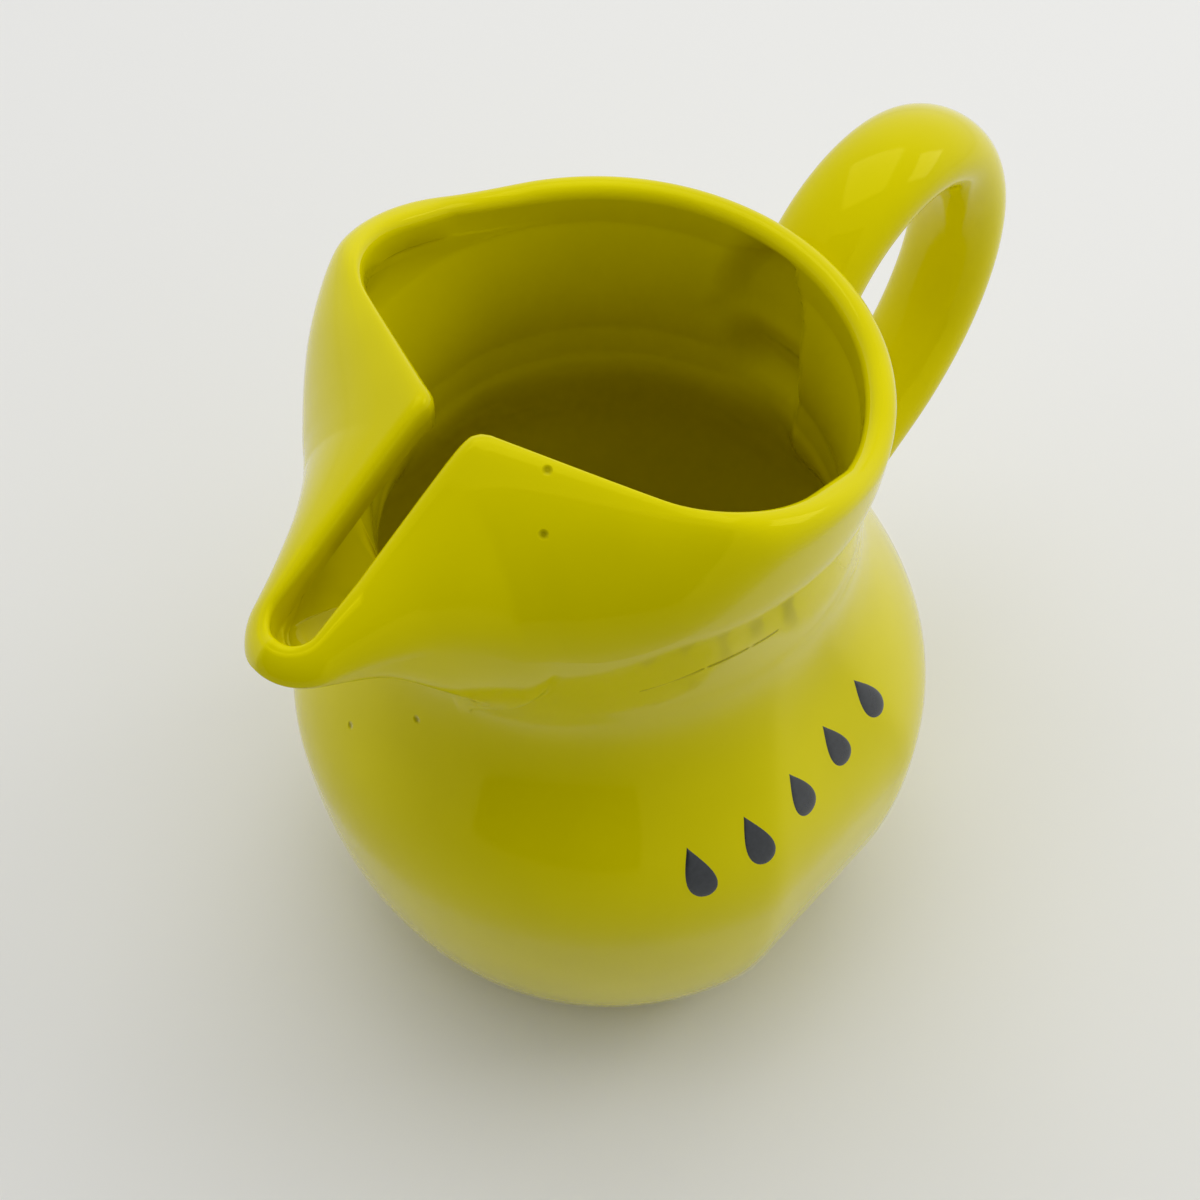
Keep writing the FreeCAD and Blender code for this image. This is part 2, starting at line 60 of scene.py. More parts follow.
CHEEK = 1.1  # how much sooner the collar fills out beside the spout
EDGE_ROUND = 2.7  # rounding of the rim and of the opening's edge
EAVES_ROUND, TIP_LESS = 14.0, 12.0  # extra rounding along the roof's eaves, and how much the tip loses
COLLAR_TOP = 145.0  # the highest level that is cut flat through the whole collar
NECK_TAPER, NECK_OVERLAP = 0.6, 0.5  # slopes at which belly and collar sink behind each other
OUTER_BLEND, INNER_BLEND = 1.6, 5.0  # width of the crease between them, outside and inside
LEDGE = 1.0  # how far below the spout's level the underside of the roof ends
RIDGE_HEIGHT = THROAT_HEIGHT + (SPOUT_RADIUS - WALL / 2) * np.tan(np.radians(ROOF_SLOPE))


def soft_min(a, b, blend):
    """The smaller of two numbers, with the corner between them rounded over a width of blend."""
    return 0.5 * (a + b - np.sqrt((a - b) ** 2 + blend ** 2))


def soft_max(a, b, blend):
    """The larger of two numbers, with the corner between them rounded over a width of blend."""
    return 0.5 * (a + b + np.sqrt((a - b) ** 2 + blend ** 2))


def ease(t):
    """A smooth step from 0 to 1: 3t^2 - 2t^3, with t held between 0 and 1."""
    t = np.clip(t, 0, 1)
    return t * t * (3 - 2 * t)


# ------------------------------------------------------------------ the shell's form

def belly_reach(angle, z, inset=0.0, bottom=0.0):
    """Distance of the belly's wall from the axis, in the direction of angle, at height z.

    The level's radius is an ellipse's quarter below the widest level and half a cosine wave
    above it. The level is a circle of that radius with two flat sides, and an arc at each corner.
    """
    low = np.clip((z - bottom) / (BELLY_HEIGHT - bottom), 0, 1)
    bowl = FOOT_RADIUS + (BELLY_RADIUS - FOOT_RADIUS) * np.sqrt(1 - (1 - low) ** 2)
    high = np.clip((z - BELLY_HEIGHT) / (NECK_HEIGHT - BELLY_HEIGHT), 0, 1)
    share = 0.5 + 0.5 * np.cos(np.pi * high)
    shoulder = NECK_RADIUS + (BELLY_RADIUS - NECK_RADIUS) * share
    radius = np.where(z < BELLY_HEIGHT, bowl, shoulder)
    fade = np.where(z < BELLY_HEIGHT, 1.0, 0.2 + 0.8 * share)
    half = radius * (1 - (1 - PANEL_HALF / BELLY_RADIUS) * fade) - inset
    corner = radius * PANEL_CORNER / BELLY_RADIUS
    radius = radius - inset
    cy = half - corner
    cx = np.sqrt((radius - corner) ** 2 - cy ** 2)
    c, s = np.abs(np.cos(angle)), np.abs(np.sin(angle))
    arc = cx * c + cy * s + np.sqrt(np.maximum(corner ** 2 - (cx * s - cy * c) ** 2, 0))
    flat = half / np.maximum(s, 1e-6)
    return np.where(s * cx < cy * c, radius, np.where(s * cx < half * c, arc, flat))


def back_radius(part):
    """Radius of the collar's back arc, from the neck's to the rim's by a power of part."""
    return soft_min(COLLAR_NECK + (RIM_RADIUS - COLLAR_NECK) * part ** 2.5, RIM_RADIUS, 0.8)


def collar_plan(part, t, inset=0.0):
    """One level of the collar at part (0 at its base, 1 at the spout's level), as x and y.

    t runs 0 to 1 on the back arc, 1 to 2 on the hollow flank and 2 to 3 on the nose, all tangent.
    """
    grow = np.clip(part, 0, None)
    shift = COLLAR_SHIFT * np.minimum(grow, 1)
    radius = back_radius(grow) - inset
    reach = soft_min(NECK_NOSE + (SPOUT_REACH - NECK_NOSE) * grow ** 2.6, SPOUT_REACH, 3.0) - inset
    nose = NECK_NOSE_RADIUS + (SPOUT_RADIUS - NECK_NOSE_RADIUS) * np.minimum(grow, 1) - inset
    flank = SPOUT_FLANK + inset
    gap = reach - nose - shift
    along = (gap ** 2 + (radius + flank) ** 2 - (nose + flank) ** 2) / (2 * gap)
    side = np.sqrt((radius + flank) ** 2 - along ** 2)
    back_turn = np.arctan2(side, -along)
    nose_turn = np.arctan2(side, gap - along)
    a0 = np.clip(t, 0, 1) * back_turn
    a1 = back_turn - np.pi + np.clip(t - 1, 0, 1) * (nose_turn - back_turn)
    a2 = nose_turn + np.clip(t - 2, 0, 1) * (np.pi - nose_turn)
    front_x = np.where(t < 2, -along + flank * np.cos(a1), -gap + nose * np.cos(a2))
    front_y = np.where(t < 2, side + flank * np.sin(a1), nose * np.sin(a2))
    x = np.where(t < 1, radius * np.cos(a0), front_x) - shift
    y = np.where(t < 1, radius * np.sin(a0), front_y)
    return x, y


def wall_level(z, t, inset=0.0, bottom=0.0):
    """The wall at height z: the belly's and the collar's levels, whichever reaches further out.

    Beside the spout the collar is taken from a little higher up, which fills out its cheek.
    """
    base = COLLAR_BASE + inset
    part = (z - base) / (SPOUT_HEIGHT - base)
    cheek = ease((t - 0.7) / 0.5) * (1 - ease((t - 1.5) / 0.7))
    x, y = collar_plan(part + CHEEK * cheek * np.clip(part * (1 - part), 0, None), t, inset)
    angle = np.arctan2(y, x)
    reach = np.hypot(x, y) - np.clip(base - z, 0, None) * NECK_TAPER
    belly = belly_reach(angle, z, inset, bottom) - np.clip(z - NECK_HEIGHT, 0, None) * NECK_OVERLAP
    both = soft_max(belly, reach, INNER_BLEND if inset else OUTER_BLEND)
    both = np.where(part > 1, np.hypot(x, y), both)
    return both * np.cos(angle), both * np.sin(angle)


def rim_height(x):
    """Height of the rim above x: level at the back, an arc, then a straight rise to the throat."""
    rise = np.radians(RIM_RISE)
    centre = (THROAT_HEIGHT - RIM_HEIGHT) / np.tan(rise) - THROAT_REACH + RIM_BEND * np.tan(rise / 2)
    back = np.clip(centre - x, 0, RIM_BEND * np.sin(rise))
    bend = RIM_BEND - np.sqrt(RIM_BEND ** 2 - back ** 2)
    return RIM_HEIGHT + bend + np.clip(centre - RIM_BEND * np.sin(rise) - x, 0, None) * np.tan(rise)


def top_height(x, y):
    """Height of the top surface: the lower of the rim's rise and the spout's two roof faces."""
    ridge = RIDGE_HEIGHT + (x + THROAT_REACH) * np.tan(np.radians(RIDGE_SLOPE))
    return soft_min(rim_height(x), ridge - np.abs(y) * np.tan(np.radians(ROOF_SLOPE)), 2.2)


def round_corner(points, corner, radius, steps):
    """The arc of a given radius that replaces one corner of a line of plan points."""
    p0, p1, p2 = points[corner - 1], points[corner], points[corner + 1]
    u, w = (p0 - p1) / np.linalg.norm(p0 - p1), (p2 - p1) / np.linalg.norm(p2 - p1)
    half = np.arccos(np.clip(u @ w, -1, 1)) / 2
    middle = (u + w) / np.linalg.norm(u + w)
    centre = p1 + middle * radius / np.sin(half)
    a = p1 + u * radius / np.tan(half) - centre
    b = p1 + w * radius / np.tan(half) - centre
    turn = np.arctan2(a[0] * b[1] - a[1] * b[0], a @ b)
    f = np.linspace(0, turn, steps)[:, None]
    return centre + np.cos(f) * a + np.sin(f) * np.array([-a[1], a[0]])


def opening_half():
    """The opening's edge seen from above, from the back to the spout's tip, on the +Y side.

    It is the bore's circle, a lip that runs forward to the throat corner, the slot's straight
    edge and the quarter circle at its end. A wide arc joins the bore to the lip, a small one
    turns the throat corner.
    """
    bore = RIM_RADIUS - WALL
    half = SPOUT_RADIUS - WALL
    lip_turn = np.radians(LIP_TURN)
    shoulder = np.array([-COLLAR_SHIFT + bore * np.cos(lip_turn), bore * np.sin(lip_turn) + LIP_OUT])
    throat = np.array([-THROAT_REACH + THROAT_BACK, half])
    tip_x = -(SPOUT_REACH - SPOUT_RADIUS)
    back = np.radians(np.linspace(0, BORE_TURN, 60))
    arc = np.stack([-COLLAR_SHIFT + bore * np.cos(back), bore * np.sin(back)], 1)
    line = np.array([arc[-1], shoulder, throat, [tip_x, half]])
    end = np.linspace(0, np.pi / 2, 12)
    tip = np.stack([tip_x - half * np.sin(end), half * np.cos(end)], 1)
    lip = round_corner(line, 1, LIP_ROUND, 24)
    corner = round_corner(line, 2, THROAT_ROUND, 10)
    return np.concatenate([arc, lip, corner, tip])


def run_length(points):
    """Length along a line at each of its points."""
    return np.concatenate([[0], np.cumsum(np.linalg.norm(np.diff(points, axis=0), axis=1))])


def resample(points, stops, counts):
    """Points spaced evenly by length along a line between the given stops (shares of its length)."""
    length = run_length(points)
    spans = zip(stops[:-1], stops[1:], counts)
    wanted = np.concatenate([np.linspace(a, b, n, endpoint=False) for a, b, n in spans] + [[1.0]])
    return np.stack([np.interp(wanted, length / length[-1], points[:, i]) for i in (0, 1)], 1)


def share_at(points, x):
    """Share of a line's length at which it first passes the given x, going forward."""
    length = run_length(points)
    return length[np.argmax(points[:, 0] <= x)] / length[-1]


BACK, FLANK, NOSE = 104, 60, 20  # points on a half ring's back arc, flank and nose


def mesh(name, points, faces, smooth=True):
    """A mesh object in metres from points in millimetres."""
    data = bpy.data.meshes.new(name)
    data.from_pydata((np.asarray(points) * MM).tolist(), [], faces)
    data.validate()
    data.polygons.foreach_set("use_smooth", [smooth] * len(data.polygons))
    piece = bpy.data.objects.new(name, data)
    bpy.context.scene.collection.objects.link(piece)
    return piece


def ring_quads(n, m):
    """The four-sided faces between n closed rings of m points, as an array of point numbers."""
    i, j = np.meshgrid(np.arange(n - 1), np.arange(m), indexing="ij")
    k = (j + 1) % m
    return np.stack([i * m + j, i * m + k, (i + 1) * m + k, (i + 1) * m + j], -1).reshape(-1, 4)


def fan(tip, first, m):
    """Triangles from one tip to the ring of m points whose first number is given."""
    j = np.arange(m)
    return np.stack([np.full(m, tip), first + (j + 1) % m, first + j], 1)


def closed_shell(rings, start, end):
    """Points and faces of a tube of rings that is closed by one point at each end."""
    n, m = rings.shape[:2]
    points = np.concatenate([rings.reshape(-1, 3), [start, end]])
    far = fan(n * m + 1, (n - 1) * m, m)[:, [0, 2, 1]]
    return points, ring_quads(n, m).tolist() + fan(n * m, 0, m).tolist() + far.tolist()


def shell_rings():
    """The whole skin of the shell as rings on the +Y side: foot, belly, collar, lip, inside, floor.

    A ring's points run from the back to the spout's tip. Between the outer wall's top and the
    opening the skin follows the top surface, with both edges rounded.
    """
    back = np.linspace(0, 1, BACK, endpoint=False)
    flank = 1 + np.linspace(0, 1, FLANK, endpoint=False)
    t = np.concatenate([back, flank, 2 + np.linspace(0, 1, NOSE)])
    edge = opening_half()
    x, y = wall_level(np.full_like(t, SPOUT_HEIGHT - LEDGE), t, WALL)
    inner = np.stack([x, y], 1)
    # On the bore's arc the opening follows the inner wall; further on it has points of its own.
    bore_turn = np.radians(BORE_TURN)
    turn = np.arctan2(inner[BACK, 1], inner[BACK, 0] + COLLAR_SHIFT)
    bore = round(BACK * bore_turn / turn)
    leave = share_at(edge, -COLLAR_SHIFT + (RIM_RADIUS - WALL) * np.cos(bore_turn))
    stops = [0, leave, share_at(edge, -THROAT_REACH), share_at(edge, -(SPOUT_REACH - SPOUT_RADIUS)), 1]
    opening = resample(edge, stops, [bore, BACK - bore, FLANK, NOSE - 1])
    follow = 1 - ease((np.arange(len(t)) - 0.6 * bore) / (0.3 * bore))
    opening += (inner - opening) * follow[:, None]
    rings = []

    def level(z, inset=0.0, bottom=0.0):
        z = np.broadcast_to(z, t.shape)
        x, y = wall_level(z, t, inset, bottom)
        rings.append(np.stack([x, y, z], 1))

    # The foot's underside, then the bowl by equal turns, the shoulder and the collar.
    disc = (0.3, 0.6, 0.85, 0.97)
    foot = np.stack(wall_level(np.full_like(t, 0.0), t), 1)
    for share in disc:
        rings.append(np.column_stack([foot * share, np.zeros(len(t))]))
    for turn in np.radians(np.linspace(3, 90, 34)):
        level(BELLY_HEIGHT * (1 - np.cos(turn)))
    for z in np.linspace(BELLY_HEIGHT, COLLAR_TOP, 64)[1:]:
        level(z)
    # Over the edge: the rounding widens along the eaves and narrows again at the spout's tip.
    eaves = ease((t - 0.55) / 0.45)
    tip = ease(t - 1.4)
    round_out = EDGE_ROUND + EAVES_ROUND * eaves - TIP_LESS * tip
    x, y = wall_level(np.full_like(t, SPOUT_HEIGHT), t)
    round_out = np.minimum(round_out, np.hypot(x - opening[:, 0], y - opening[:, 1]) * 0.72)
    crest = np.maximum(top_height(x, y) - round_out, COLLAR_TOP + 1.0)
    for share in np.linspace(0, 1, 9)[1:]:
        level(COLLAR_TOP + (crest - COLLAR_TOP) * share)
    outer = rings[-1][:, :2].copy()
    wide = np.linalg.norm(outer - opening, axis=1)
    round_in = np.minimum(EDGE_ROUND, wide - round_out)
    across = (opening - outer) / wide[:, None]

    def top(distance, drop):
        """One ring on the top surface, at a distance in from the wall and dropped a little."""
        plan = outer + across * distance[:, None]
        height = np.maximum(top_height(*plan.T) - drop, crest + 0.1)
        rings.append(np.column_stack([plan, height]))

    for turn in np.radians(np.linspace(10, 90, 9)):
        top(round_out * (1 - np.cos(turn)), round_out * (1 - np.sin(turn)))
    for share in np.linspace(0, 1, 9)[1:]:
        top(round_out + (wide - round_out - round_in) * share, 0.0)
    for turn in np.radians(np.linspace(10, 90, 9)):
        top(wide - round_in * (1 - np.sin(turn)), round_in * (1 - np.cos(turn)))
    # Under the roof, out to the inner wall, and down it to the floor.
    skin = len(rings)
    under = WALL / np.cos(np.radians(ROOF_SLOPE)) / np.cos(np.radians(RIDGE_SLOPE))
    for share in np.linspace(0, 1, 12):
        plan = opening + (inner - opening) * share
        ceiling = top_height(*plan.T) - under - share - 2.5 * ease((share - 0.6) / 0.4)
        rings.append(np.column_stack([plan, np.maximum(ceiling, SPOUT_HEIGHT - LEDGE + (1 - share))]))
    last, start = rings[-1][:, 2], SPOUT_HEIGHT - 1.5 * LEDGE
    for share in (0.5, 1.0):
        rings.append(np.column_stack([inner, last + (start - last) * share]))
    for z in np.linspace(start, BELLY_HEIGHT, 80)[1:]:
        level(z, WALL, FLOOR)
    for turn in np.radians(np.linspace(90, 3, 30))[1:]:
        level(FLOOR + (BELLY_HEIGHT - FLOOR) * (1 - np.cos(turn)), WALL, FLOOR)
    inner_foot = rings[-1][:, :2]
    for share in disc[::-1]:
        rings.append(np.column_stack([inner_foot * share, np.full(len(t), FLOOR)]))
    return np.array(rings), skin


HOLLOW = {"middle": (-2.0, 138.0), "half_width": 9.5, "rise": 15.0, "tail": 0.34,
          "low_depth": 2.2, "more": 1.9, "root_depth": 4.0}


def hollow(y, z):
    """Depths of the hollow behind the handle's upper root: an arch with one crisp side.

    The arch is half an ellipse with a long tail below. Its depth eases to nothing across its edge,
    which is narrow on the -Y side and widens to the +Y side and downwards. The first depth is
    within the wall's thickness; the second goes on into the handle's root.
    """
    middle_y, middle_z = HOLLOW["middle"]
    across, up = (y - middle_y) / HOLLOW["half_width"], (z - middle_z) / HOLLOW["rise"]
    reach = np.hypot(across, np.where(up > 0, up, up * HOLLOW["tail"]))
    band = (0.22 + 0.68 * ease((across + 0.3) / 1.2)) * (0.7 + 0.9 * ease(-up / 0.5))
    arch = 1 - ease((reach - 1) / band + 0.5)
    in_root = ease((z - 112) / 9) * ease((135 - z) / 12) * ease((11 - np.abs(y - middle_y)) / 4)
    in_wall = HOLLOW["low_depth"] + HOLLOW["more"] * ease((z - 126) / 12)
    return arch * in_wall, arch * HOLLOW["root_depth"] * in_root


def draw_out(points, outer):
    """The wall drawn out by the hollow; on the outside only by the part inside the handle's root."""
    x, y, z = points.T
    in_wall, in_root = hollow(y, z)
    here = (x > 20) & (z > 60) & (z < 156)
    if not outer:
        here &= np.hypot(x, y) < np.where(z > NECK_HEIGHT, 48.0, 66.0)
    depth = in_root if outer else in_wall + in_root
    return points + np.column_stack([np.where(here, depth, 0), np.zeros((len(x), 2))])


def back_wall(y, z):
    """x of the outer wall behind the axis, where the handle joins it."""
    base = COLLAR_BASE
    part = np.clip((z - base) / (SPOUT_HEIGHT - base), 0, None)
    collar = (-COLLAR_SHIFT * np.minimum(part, 1) + np.sqrt(back_radius(part) ** 2 - y ** 2)
              - np.clip(base - z, 0, None) * NECK_TAPER)
    belly = (np.sqrt(belly_reach(np.zeros_like(z), z) ** 2 - y ** 2)
             - np.clip(z - NECK_HEIGHT, 0, None) * NECK_OVERLAP)
    return np.where(part > 1, collar, soft_max(belly, collar, OUTER_BLEND))


# The handle is a hair thinner than its CAD size of 15, so that its skin stays inside the CAD box.
HANDLE = {"top": (46.0, 120.3), "end": (62.0, 51.9), "rise": 49.7, "turn": 55.0, "fall": 32.4,
          "bend": 27.7, "side_bend": 46.0, "width": 22.0, "thickness": 14.92, "root": 6.5}


def handle_line(steps):
    """The handle's centre line as points and directions in the XZ plane: a run, two bends, a run.

    Each step turns by its curl times its length and goes forward at the middle of that turn.
    """
    (x1, z1), (x2, z2) = HANDLE["top"], HANDLE["end"]
    r1, r2 = HANDLE["bend"], HANDLE["side_bend"]
    rise, turn, fall = (np.radians(HANDLE[key]) for key in ("rise", "turn", "fall"))
    dx = x2 - x1 - r1 * (np.sin(rise) + np.sin(turn)) + r2 * (np.sin(turn) - np.sin(fall))
    dz = z2 - z1 + r1 * (np.cos(rise) - np.cos(turn)) + r2 * (np.cos(turn) + np.cos(fall))
    first = (-dx * np.sin(fall) + dz * np.cos(fall)) / -np.sin(fall - rise)
    last = (dx - first * np.cos(rise)) / -np.cos(fall)
    lengths = np.array([first, r1 * (rise + turn), r2 * (np.pi - turn - fall), last])
    counts = np.maximum(2, np.round(lengths / (lengths.sum() / steps)).astype(int))
    step = np.repeat(lengths / counts, counts)
    bend = step * np.repeat([0.0, -1 / r1, -1 / r2, 0.0], counts)
    angle = rise + np.concatenate([[0], np.cumsum(bend)])
    middle = angle[:-1] + bend / 2
    path = np.cumsum(np.stack([np.cos(middle), np.sin(middle)], 1) * step[:, None], 0)
    return np.array([x1, z1]) + np.concatenate([[[0, 0]], path]), angle


def handle_rings():
    """The handle's skin: an oval carried along its line, with each end flared onto the wall.

    At each end a point leaves the oval's straight run, turns through a curve and lies down on the
    wall, at the root's radius beyond the place where the run meets the wall.
    """
    line, angle = handle_line(110)
    around = np.linspace(0, 2 * np.pi, 64, endpoint=False)
    wide, thick, root = HANDLE["width"] / 2, HANDLE["thickness"] / 2, HANDLE["root"]
    y, up = wide * np.cos(around), thick * np.sin(around)
    normal = np.stack([-np.sin(angle), np.cos(angle)], 1)
    plane = line[:, None, :] + normal[:, None, :] * up[None, :, None]
    body = np.stack([plane[..., 0], np.broadcast_to(y, plane.shape[:2]), plane[..., 1]], -1)

    def flare(index, sign):
        """One end's rings from the wall to the straight run, and how far along the run they reach."""
        start, step = body[index], np.array([np.cos(angle[index]), 0, np.sin(angle[index])]) * sign
        low, high = np.full(len(around), -60.0), np.full(len(around), 60.0)
        for _ in range(40):
            middle = (low + high) / 2
            p = start + middle[:, None] * step
            inside = p[:, 0] < back_wall(p[:, 1], p[:, 2])
            low, high = np.where(inside, middle, low), np.where(inside, high, middle)
        meet = start + high[:, None] * step
        centre = meet.mean(0)
        out = meet - centre
        out /= np.linalg.norm(out, axis=1)[:, None]
        foot = meet + out * root
        foot[:, 0] = back_wall(foot[:, 1], foot[:, 2]) - 0.08
        leave = meet + step * root
        f = np.linspace(0, 1, 12)[:, None, None]
        return (1 - f) ** 2 * foot + 2 * f * (1 - f) * meet + f ** 2 * leave, (leave - start) @ step

    def cap(ring):
        """Rings closing in on the root's middle, just inside the wall."""
        middle = ring.mean(0)
        rings = [middle + (ring - middle) * share for share in (0.02, 0.25, 0.5, 0.75, 0.96)]
        for item in rings:
            item[:, 0] = back_wall(item[:, 1], item[:, 2]) + hollow(item[:, 1], item[:, 2])[1] - 0.1
        return np.array(rings)

    first, gone = flare(0, 1.0)
    last, gone_end = flare(-1, -1.0)
    along = run_length(line)
    keep = (along > gone.max() + 1) & (along < along[-1] - gone_end.max() - 1)
    return np.concatenate([cap(first[0]), first, body[keep], last[::-1], cap(last[0])[::-1]])


half, inner_start = shell_rings()
mirrored = half[:, 1:-1][:, ::-1] * np.array([1, -1, 1])
whole = np.concatenate([half, mirrored], 1)
for skin, outer in ((whole[:inner_start], True), (whole[inner_start:], False)):
    skin[:] = draw_out(skin.reshape(-1, 3), outer).reshape(skin.shape)
shell_points, shell_faces = closed_shell(whole, (0, 0, 0), (0, 0, FLOOR))
shell = mesh("glazed_shell", shell_points, shell_faces)
rings = handle_rings()
handle_points, handle_faces = closed_shell(rings[:, ::-1], rings[0].mean(0), rings[-1].mean(0))
handle = mesh("handle", handle_points, handle_faces)


DROP = {"width": 3.9, "height": 7.2, "tilt": 0.22, "lift": 0.22, "sink": 0.42, "slope": 0.86}
ROW = {"count": 5, "angle": -122.4, "turn": 11.5, "height": 83.5, "climb": 2.4}
PANEL_REACH = 57.0  # distance from the axis that turns a width on the panel into an angle


def panel_point(angle, z, lift):
    """A point on the belly's outer wall, moved out by lift."""
    neck = COLLAR_NECK - (COLLAR_BASE - z) * NECK_TAPER
    reach = soft_max(belly_reach(angle, z), neck, OUTER_BLEND) + lift
    return np.stack([reach * np.cos(angle), reach * np.sin(angle), z], -1)


def drop_mark(name, angle, z):
    """A small inlaid drop: rings from its middle to its outline, domed, with its edge sunk.

    The outline is x = width sin(u) |sin(u/2)|^1.3 and y = height cos(u), tilted on the wall. The
    height above the wall is lift - sink share^8, with share 0 at the middle and 1 at the outline.
    """
    u = np.linspace(0, 2 * np.pi, 40, endpoint=False)
    side = DROP["width"] * np.sin(u) * np.abs(np.sin(u / 2)) ** 1.3
    outline = np.stack([side, DROP["height"] * np.cos(u)], 1)
    c, s = np.cos(DROP["tilt"]), np.sin(DROP["tilt"])
    share = np.array([0.25, 0.5, 0.75, 0.9, 1.0])[:, None]
    a, b = (outline @ np.array([[c, s], [-s, c]])).T
    rings = panel_point(angle + a * share / PANEL_REACH, z + b * share * DROP["slope"],
                        DROP["lift"] - DROP["sink"] * share ** 8)
    n, m = rings.shape[:2]
    middle = panel_point(np.array(angle), np.array(z), DROP["lift"])
    points = np.concatenate([rings.reshape(-1, 3), [middle]])
    faces = fan(n * m, 0, m)[:, ::-1].tolist() + ring_quads(n, m)[:, ::-1].tolist()
    return mesh(name, points, faces)


turns = np.radians(ROW["angle"] + ROW["turn"] * np.arange(ROW["count"]))
marks = [drop_mark(f"mark_{i + 1}", turn, ROW["height"] + ROW["climb"] * i) for i, turn in enumerate(turns)]


# ------------------------------------------------------------------ materials

def linear(code):
    """A hex sRGB colour as linear red, green, blue and alpha."""
    parts = [int(code[i:i + 2], 16) / 255 for i in (0, 2, 4)]
    return [c / 12.92 if c <= 0.04045 else ((c + 0.055) / 1.055) ** 2.4 for c in parts] + [1.0]


def node(tree, kind, inputs=None, **settings):
    """One shader node with its settings and its input values or links."""
    item = tree.nodes.new(kind)
    for key, setting in settings.items():
        setattr(item, key, setting)
    for key, value in (inputs or {}).items():
        if isinstance(value, bpy.types.NodeSocket):
            tree.links.new(value, item.inputs[key])
        else:
            item.inputs[key].default_value = value
    return item


def per_size(size):
    """The scale of a noise whose features are about this many millimetres across."""
    return 1 / (size * MM)


PINHOLES = [(-39.8, -22.4, 167.4), (-52.0, 1.0, 102.3), (-56.8, 16.0, 89.4), (-49.1, -3.1, 116.6),
            (-33.5, -17.5, 173.3)]
CRACKS = [((-33.0, -37.2, 131.0), (-24.7, -43.2, 134.0)), ((-23.5, -44.0, 134.2), (-17.0, -46.4, 134.8)),
          ((-26.0, -43.6, 130.5), (-21.0, -45.8, 131.6)), ((-15.5, -46.8, 134.8), (-11.0, -48.2, 135.0))]
PINHOLE_CORE, PINHOLE_EDGE = 0.3, 0.9
CRACK_CORE, CRACK_EDGE = 0.1, 0.6


def near(tree, distance, core, edge):
    """1 within core of a flaw's middle, falling to 0 at its edge, in millimetres."""
    return node(tree, "ShaderNodeMapRange", {"Value": distance, "From Min": core * MM, "From Max": edge * MM,
                                             "To Min": 1.0, "To Max": 0.0}).outputs[0]


def pinhole(tree, place, middle):
    """A round pinhole: by its distance from one point."""
    away = node(tree, "ShaderNodeVectorMath", {0: place, 1: np.array(middle) * MM}, operation="DISTANCE")
    return near(tree, away.outputs["Value"], PINHOLE_CORE, PINHOLE_EDGE)


def crack(tree, place, start, end):
    """A short straight crack: by its distance from the nearest point between start and end."""
    a, b = np.array(start) * MM, np.array(end) * MM
    off = node(tree, "ShaderNodeVectorMath", {0: place, 1: a}, operation="SUBTRACT")
    part = node(tree, "ShaderNodeVectorMath", {0: off.outputs[0], 1: (b - a) / ((b - a) @ (b - a))},
                operation="DOT_PRODUCT")
    part = node(tree, "ShaderNodeClamp", {"Value": part.outputs["Value"]})
    foot = node(tree, "ShaderNodeVectorMath", {0: b - a, "Scale": part.outputs[0]}, operation="SCALE")
    away = node(tree, "ShaderNodeVectorMath", {0: off.outputs[0], 1: foot.outputs[0]},
                operation="DISTANCE")
    return near(tree, away.outputs["Value"], CRACK_CORE, CRACK_EDGE)


def largest(tree, values):
    """The largest of several values at each place."""
    top = values[0]
    for value in values[1:]:
        top = node(tree, "ShaderNodeMath", {0: top, 1: value}, operation="MAXIMUM").outputs[0]
    return top


def glaze(name, ripple):
    """Chartreuse glaze, poured over slip-cast earthenware and fired glossy.

    To the eye it is an even, wet-looking coat. It is faintly wavy, a little lighter and darker
    where it thinned and pooled, with a few pinholes, and with short cracks at the waist's crease.
    """
    material = bpy.data.materials.new(name)
    material.use_nodes = True
    tree = material.node_tree
    shader = tree.nodes["Principled BSDF"]
    place = node(tree, "ShaderNodeTexCoord").outputs["Object"]
    # Pools and thin places are about 45 mm across.
    pool = node(tree, "ShaderNodeTexNoise", {"Vector": place, "Scale": per_size(45.45), "Detail": 2.0})
    tone = node(tree, "ShaderNodeValToRGB", {"Fac": pool.outputs["Fac"]})
    thin, thick = tone.color_ramp.elements
    thin.position, thin.color = 0.3, linear("D3C800")
    thick.position, thick.color = 0.7, linear("DFD400")
    flaws = largest(tree, [pinhole(tree, place, middle) for middle in PINHOLES]
                    + [crack(tree, place, start, end) for start, end in CRACKS])
    # The flaws are a darker yellow. A colour mix has its two colours on sockets 6 and 7.
    shade = node(tree, "ShaderNodeMix", {6: tone.outputs["Color"], 7: linear("A59B00")}, data_type="RGBA")
    tree.links.new(flaws, shade.inputs["Factor"])
    # The coat's waves are about 14 mm apart; the flaws dip below them.
    wave = node(tree, "ShaderNodeTexNoise", {"Vector": place, "Scale": per_size(14.286), "Detail": 1.0})
    coat = node(tree, "ShaderNodeMath", {0: wave.outputs["Fac"], 1: ripple}, operation="MULTIPLY")
    height = node(tree, "ShaderNodeMath", {0: coat.outputs[0], 1: flaws}, operation="SUBTRACT")
    bump = node(tree, "ShaderNodeBump", {"Height": height.outputs[0], "Strength": 0.5, "Distance": 0.6 * MM})
    tree.links.new(shade.outputs[2], shader.inputs["Base Color"])
    tree.links.new(bump.outputs["Normal"], shader.inputs["Normal"])
    shader.inputs["Roughness"].default_value = 0.08
    shader.inputs["IOR"].default_value = 1.38
    # The tint keeps the gloss as yellow as the coat, without a white veil.
    shader.inputs["Specular Tint"].default_value = (1.0, 0.93, 0.05, 1.0)
    return material


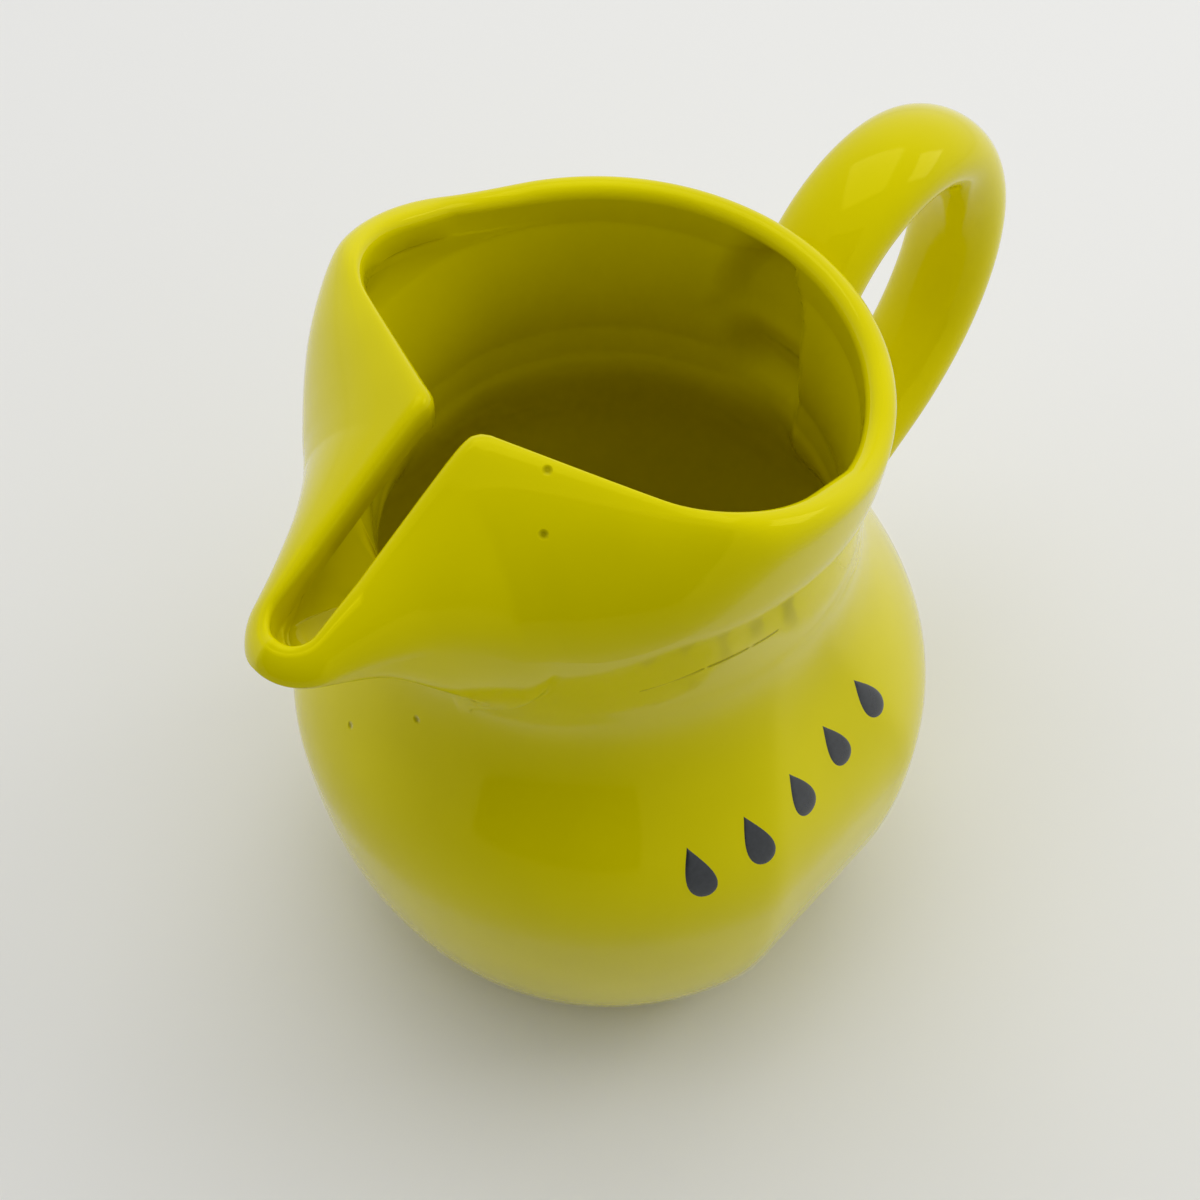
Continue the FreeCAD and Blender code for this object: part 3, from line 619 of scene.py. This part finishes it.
def inlay():
    """Slate-coloured slip, inlaid and fired: dark grey, less glossy than the glaze around it."""
    material = bpy.data.materials.new("slate_inlay")
    material.use_nodes = True
    tree = material.node_tree
    shader = tree.nodes["Principled BSDF"]
    place = node(tree, "ShaderNodeTexCoord").outputs["Object"]
    # Its grains are about 1 mm across, coarser than real ones, so that they show.
    speck = node(tree, "ShaderNodeTexNoise", {"Vector": place, "Scale": per_size(1.111), "Detail": 2.0})
    tone = node(tree, "ShaderNodeValToRGB", {"Fac": speck.outputs["Fac"]})
    tone.color_ramp.elements[0].color = linear("1E2226")
    tone.color_ramp.elements[1].color = linear("33383D")
    tree.links.new(tone.outputs["Color"], shader.inputs["Base Color"])
    shader.inputs["Roughness"].default_value = 0.25
    return material


# On the handle the glaze ran more, so its waves are higher.
shell.data.materials.append(glaze("chartreuse_glaze", 0.25))
handle.data.materials.append(glaze("chartreuse_glaze_runs", 0.9))
slate = inlay()
for mark in marks:
    mark.data.materials.append(slate)
for piece in (shell, handle, *marks):
    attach(piece, "root")
for piece in (shell, handle):
    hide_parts("jug")


# ------------------------------------------------------------------ floor, light and camera

def plain(name, colour):
    """A matt, even colour for what only stands around the jug."""
    material = bpy.data.materials.new(name)
    material.use_nodes = True
    shader = material.node_tree.nodes["Principled BSDF"]
    shader.inputs["Base Color"].default_value = linear(colour)
    shader.inputs["Roughness"].default_value = 0.9
    shader.inputs["Specular IOR Level"].default_value = 0.1
    return material


corners = np.array([(-1, -1, 0), (1, -1, 0), (1, 1, 0), (-1, 1, 0)])
floor = mesh("floor", corners * 3000.0, [[0, 1, 2, 3]], False)
floor.data.materials.append(plain("matt_paper", "E9E9E7"))


def light(name, place, target, width, height, power):
    """A white rectangular lamp at place, facing target, in metres and watts."""
    lamp = bpy.data.lights.new(name, "AREA")
    lamp.shape, lamp.size, lamp.size_y, lamp.energy = "RECTANGLE", width, height, power
    holder = bpy.data.objects.new(name, lamp)
    bpy.context.scene.collection.objects.link(holder)
    z = np.array(place, float) - np.array(target, float)
    z /= np.linalg.norm(z)
    x = np.cross((0, 0, 1), z)
    x /= np.linalg.norm(x)
    y = np.cross(z, x)
    holder.matrix_world = Matrix([[x[i], y[i], z[i], place[i]] for i in range(3)] + [[0, 0, 0, 1]])


light("ceiling", (0.25, 0.2, 1.4), (0, 0, 0), 1.0, 1.0, 5.0)
light("window", (0.9, -0.6, 0.9), (0, 0, 0.1), 0.6, 0.5, 2)

# A dark card behind the camera, which doesn't see it. It keeps light off the jug's front, and the
# glaze mirrors it as a soft dark patch.
card = mesh("dark_card", [(-430, -520, 0), (-690, -30, 0), (-470, 60, 800), (-170, -500, 800)],
            [[0, 1, 2, 3]], False)
card.data.materials.append(plain("black_card", "141414"))
card.visible_camera = False

world = bpy.data.worlds.new("studio")
bpy.context.scene.world = world
world.use_nodes = True
world.node_tree.nodes["Background"].inputs["Color"].default_value = (1, 1, 1, 1)
world.node_tree.nodes["Background"].inputs["Strength"].default_value = 0.76

bpy.context.scene.view_settings.view_transform = "Standard"

camera = bpy.data.objects.new("camera", bpy.data.cameras.new("camera"))
bpy.context.scene.collection.objects.link(camera)
camera.data.lens, camera.data.sensor_width = 54.0, 36.0
right, up = (0.67345, -0.73923, -0.00376), (0.60562, 0.54880, 0.57623)
ahead = (0.42390, 0.39034, -0.81728)
place = (-0.15690, -0.14193, 0.38699)
camera.matrix_world = Matrix([[right[i], up[i], -ahead[i], place[i]] for i in range(3)] + [[0, 0, 0, 1]])
bpy.context.scene.camera = camera
